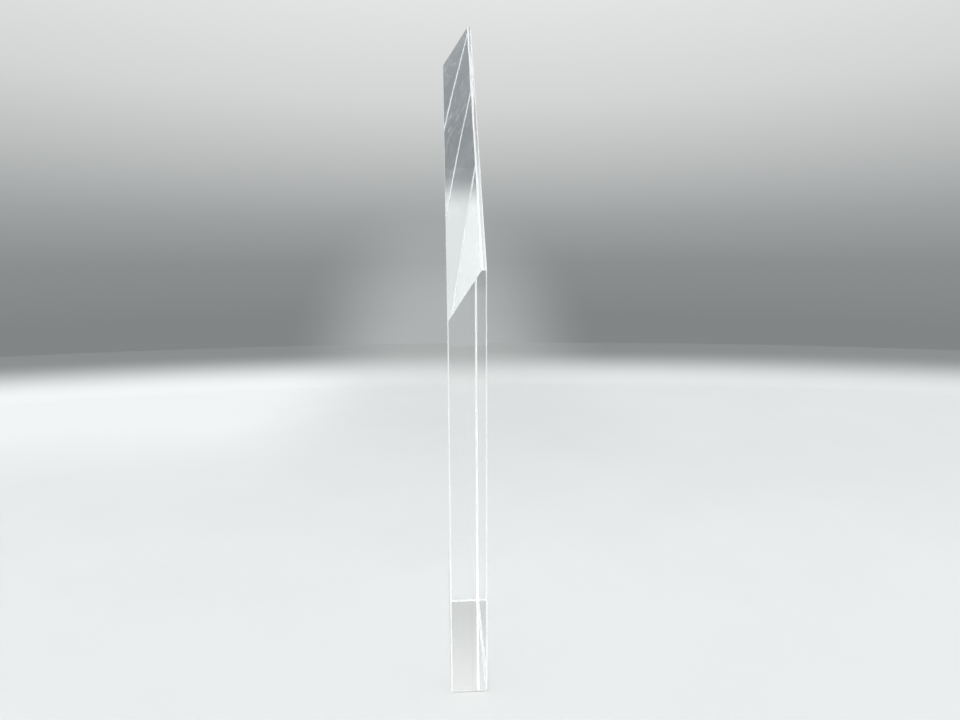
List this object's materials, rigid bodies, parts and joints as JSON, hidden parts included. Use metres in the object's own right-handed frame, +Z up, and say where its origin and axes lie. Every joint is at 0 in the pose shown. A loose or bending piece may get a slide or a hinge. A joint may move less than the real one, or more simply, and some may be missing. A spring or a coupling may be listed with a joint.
{
  "type": "crystal award",
  "caption": "Tall flat slab award of clear optical crystal with a slanted top, a wide bevel along the slant and ground edges.",
  "frame": {"origin": "middle of the flat foot that the slab stands on", "axes": "+Z up towards the slanted top; +Y through the slab's thickness towards the plain back face, so the bevelled front face looks along -Y; +X along the width towards the short side"},
  "size_m": [0.115, 0.015, 0.3],
  "materials": {
    "optical_crystal": "polished, colourless, with fine ground arrises"
  },
  "bodies": {
    "root": {"crystal_slab": "optical_crystal"}
  },
  "joints": []
}
